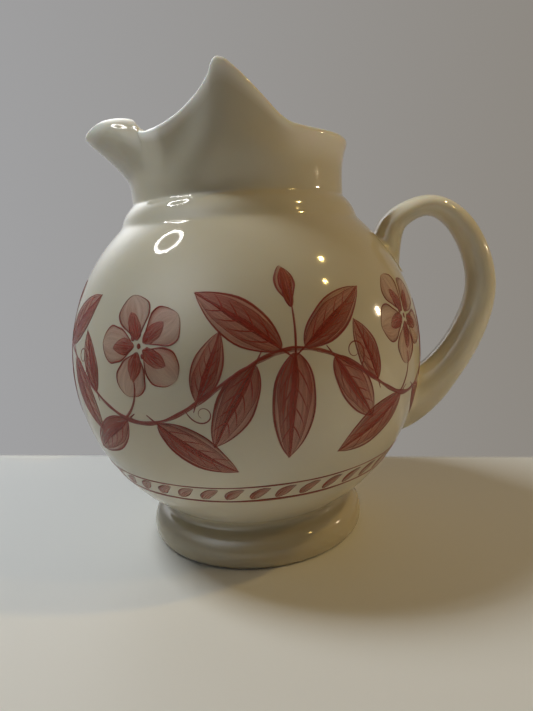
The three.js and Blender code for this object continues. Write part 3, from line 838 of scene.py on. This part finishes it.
studio = {
    "aim": (0, 0, 90),
    "lamps": [  # name, direction, distance, size, watts, colour, dark share of the middle
        ("keyLamp", (-0.50, 0.03, 0.866), 1000, 250, 3.4, (0.92, 1.0, 0.98), 0),
        ("ringLamp", (-0.54, 0.08, 0.84), 1000, 250, 1.6, (1.0, 0.98, 0.95), 0.82),
        ("warmLampUpper", (0.65, -0.14, 0.75), 1100, 50, 1.6, (1.0, 0.68, 0.22), 0),
        ("warmLampFront", (0.71, -0.33, 0.62), 1100, 50, 0.7, (1.0, 0.68, 0.22), 0),
        ("warmLampLow", (0.97, 0.06, 0.23), 1100, 70, 0.9, (1.0, 0.79, 0.53), 0),
    ],
    # the one lamp that the glass doesn't reflect, and the softness of a ring's inner edge
    "unmirrored": "keyLamp", "ringEdge": 0.05,
    # soft light from each side: its direction and its colour where it is strongest
    "softPower": 4.0, "softLight": [
        ((-1, 0, 0), (0.03, 0.03, 0.035)), ((1, 0, 0), (0.06, 0.04, 0.02)), ((0, -1, 0), (0.02, 0.02, 0.02)),
        ((0, 0.7, 0.7), (0.05, 0.055, 0.06)), ((0, 0, 1), (0.03, 0.03, 0.03))],
    # the wall behind, and what only the glass reflects: the darker room in front, and bright patches on its ceiling
    # and on the wall, each with its colour, its direction and a power that narrows it
    "wallLeft": (0.375, 0.38, 0.395, 1), "wallRight": (0.245, 0.22, 0.185, 1), "wallSlope": 0.75,
    "room": (0.05, 0.042, 0.03, 1), "roomEdge": (-0.5, 0.1),
    "patches": [((2.2, 2.3, 2.4, 1), (-0.6, -0.45, 0.66), 20.0), ((3.0, 3.05, 3.1, 1), (-0.4, 0.72, 0.57), 40.0)],
}


def makeStudio(s):
    for name, way, distance, size, watts, colour, dark in s["lamps"]:
        lamp = bpy.data.lights.new(name, "AREA")
        lamp.shape, lamp.size, lamp.energy, lamp.color = "DISK", size * mm, watts, colour
        if dark:  # a ring: the middle of the disc stays dark
            lamp.use_nodes = True
            lamp.node_tree.nodes.clear()
            wire = Wire(lamp.node_tree)
            spot = wire.node("NewGeometry", {}, {}, "Parametric")
            off = wire.node("VectorMath", {"operation": "DISTANCE"}, {0: spot, 1: (0.5, 0.5, 0.0)}, "Value")
            ring = wire.node("MapRange", {}, {
                "Value": off, "From Min": dark / 2 - s["ringEdge"], "From Max": dark / 2 + s["ringEdge"]})
            glow = wire.node("Emission", {}, {"Strength": ring * (1 / (1 - dark**2))})
            wire.node("OutputLight", {}, {"Surface": glow})
        post = bpy.data.objects.new(name, lamp)
        away = Vector(way).normalized()
        post.location = (Vector(s["aim"]) + away * distance) * mm
        post.rotation_euler = away.to_track_quat("Z", "Y").to_euler()
        post.visible_glossy = name != s["unmirrored"]
        bpy.context.scene.collection.objects.link(post)
    world = bpy.data.worlds.new("studio")
    bpy.context.scene.world = world
    world.use_nodes = True
    world.node_tree.nodes.clear()
    wire = Wire(world.node_tree)
    way = wire.node("TexCoord", {}, {}, "Generated")

    def toward(side, power):
        facing = wire.node("VectorMath", {"operation": "DOT_PRODUCT"}, {0: way, 1: side}, "Value")
        return (0.5 * facing + 0.5) ** power

    light = (0, 0, 0)
    for side, colour in s["softLight"]:
        lit = wire.blend(toward(side, s["softPower"]), (0, 0, 0, 1), (*colour, 1))
        light = wire.node("VectorMath", {"operation": "ADD"}, {0: lit, 1: light})
    fromLeft = wire.node("SeparateXYZ", {}, {0: way}, "X")
    wall = wire.blend(s["wallSlope"] * fromLeft + 0.5, s["wallLeft"], s["wallRight"])
    seen = wire.maths("MAXIMUM", wire.node("LightPath", {}, {}, "Is Camera Ray"),
                      wire.node("LightPath", {}, {}, "Is Transmission Ray"))
    behind = wire.node("MapRange", {"interpolation_type": "SMOOTHSTEP"}, {
        "Value": wire.node("SeparateXYZ", {}, {0: way}, "Y"),
        "From Min": s["roomEdge"][0], "From Max": s["roomEdge"][1]})
    mirrored = wire.blend(behind, s["room"], wall)
    for colour, side, power in s["patches"]:
        mirrored = wire.blend(toward(side, power), mirrored, colour)
    light = wire.blend(wire.node("LightPath", {}, {}, "Is Glossy Ray"), light, mirrored)
    sky = wire.node("Background", {}, {"Color": wire.blend(seen, light, wall), "Strength": 1.0})
    wire.node("OutputWorld", {}, {"Surface": sky})
    bpy.context.scene.view_settings.view_transform = "Standard"


makeStudio(studio)

camera = {"place": (8.28, -242.0, 121.9), "tilt": 10.30, "roll": 3.36, "lens": 27.04, "sensor": 36.0}


def makeCamera(c):
    tilt, roll = np.radians([c["tilt"], c["roll"]])
    ahead = np.array([0, np.cos(tilt), -np.sin(tilt)])
    level = np.array([1.0, 0, 0])
    above = np.cross(level, ahead)
    right = level * np.cos(roll) - above * np.sin(roll)
    up = level * np.sin(roll) + above * np.cos(roll)
    lens = bpy.data.cameras.new("photoCamera")
    lens.lens, lens.sensor_width, lens.clip_start = c["lens"], c["sensor"], 0.01
    post = bpy.data.objects.new("photoCamera", lens)
    turn = Matrix(np.stack([right, up, -ahead], 1).tolist()).to_4x4()
    post.matrix_world = Matrix.Translation(Vector(c["place"]) * mm) @ turn
    bpy.context.scene.collection.objects.link(post)
    bpy.context.scene.camera = post


makeCamera(camera)
print("studio set")
